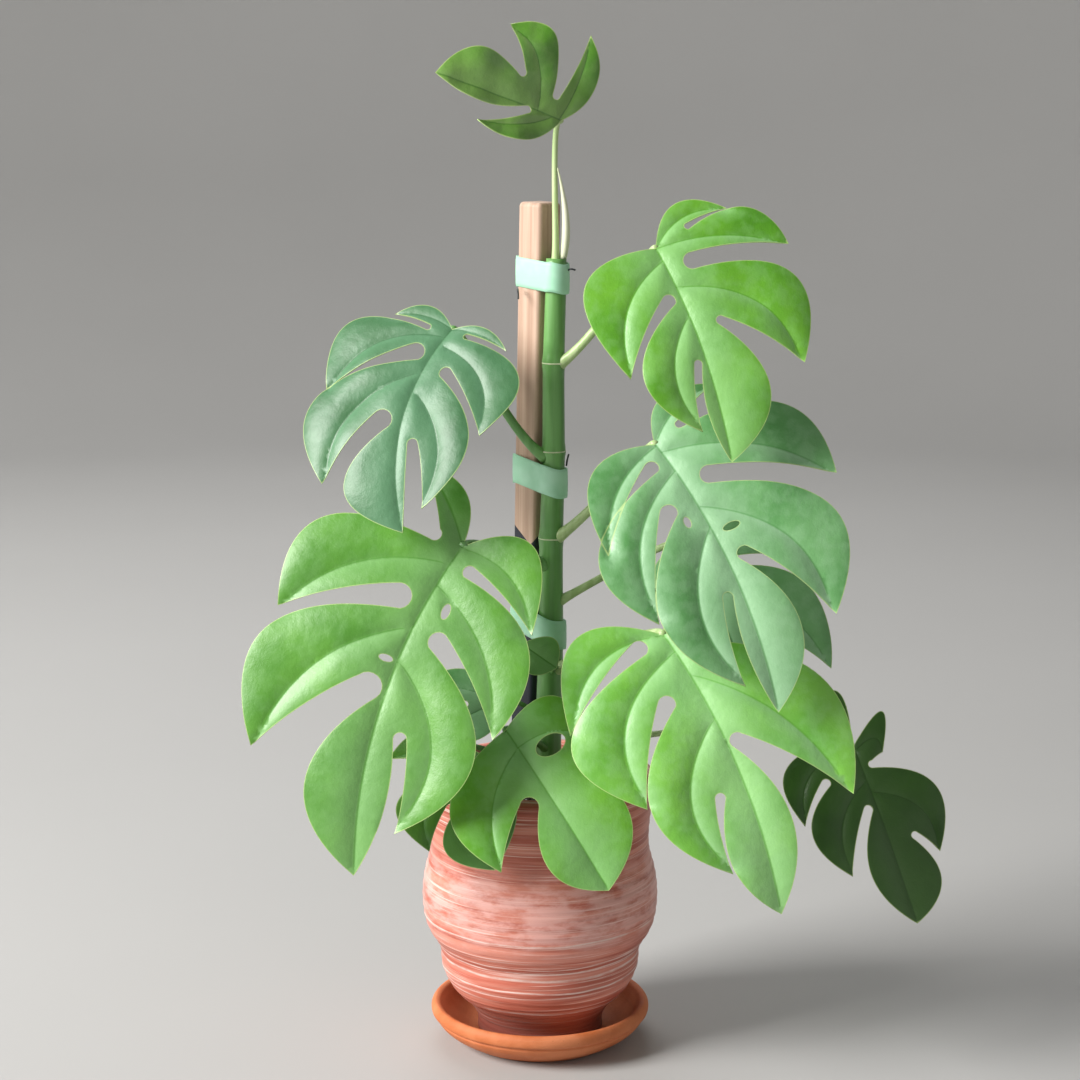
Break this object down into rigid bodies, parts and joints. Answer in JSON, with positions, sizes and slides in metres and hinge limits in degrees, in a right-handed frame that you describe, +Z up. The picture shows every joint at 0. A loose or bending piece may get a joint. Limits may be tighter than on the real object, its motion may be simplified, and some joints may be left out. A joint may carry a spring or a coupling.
{
  "type": "potted split-leaf plant",
  "caption": "Potted split-leaf houseplant tied to a wooden stake, in a turned terracotta pot standing on a saucer.",
  "frame": {"origin": "centre of the saucer's flat underside", "axes": "+Z up along the pot's axis, -Y towards the viewer, +X to the viewer's right"},
  "size_m": [0.3378, 0.1584, 0.4954],
  "materials": {
    "saucer": "matt orange terracotta",
    "pot": "matt turned terracotta with pale marbled streaks",
    "soil": "crumbly, matt",
    "stake": "plain sanded beech",
    "strap": "soft satin stretch tape",
    "stem": "smooth satin green",
    "sheath": "thin, papery",
    "leaf": "waxy satin green"
  },
  "bodies": {
    "root": {"saucer": "saucer", "pot": "pot", "soil": "soil", "stake": "stake", "strap_1": "strap", "strap_2": "strap", "strap_3": "strap", "main_stem": "stem", "top_sheath": "sheath", "petiole_top": "stem", "petiole_upper_left": "stem", "petiole_lower_left": "stem", "petiole_upper_right": "stem", "petiole_mid_right": "stem", "petiole_lower_right": "stem", "petiole_far_right": "stem", "petiole_behind_right": "stem", "petiole_front": "stem", "petiole_low_back": "stem", "petiole_small_back": "stem", "petiole_young": "stem", "leaf_top": "leaf", "leaf_upper_left": "leaf", "leaf_lower_left": "leaf", "leaf_upper_right": "leaf", "leaf_mid_right": "leaf", "leaf_lower_right": "leaf", "leaf_far_right": "leaf", "leaf_behind_right": "leaf", "leaf_front": "leaf", "leaf_low_back": "leaf", "leaf_small_back": "leaf", "leaf_young": "leaf"}
  },
  "joints": []
}
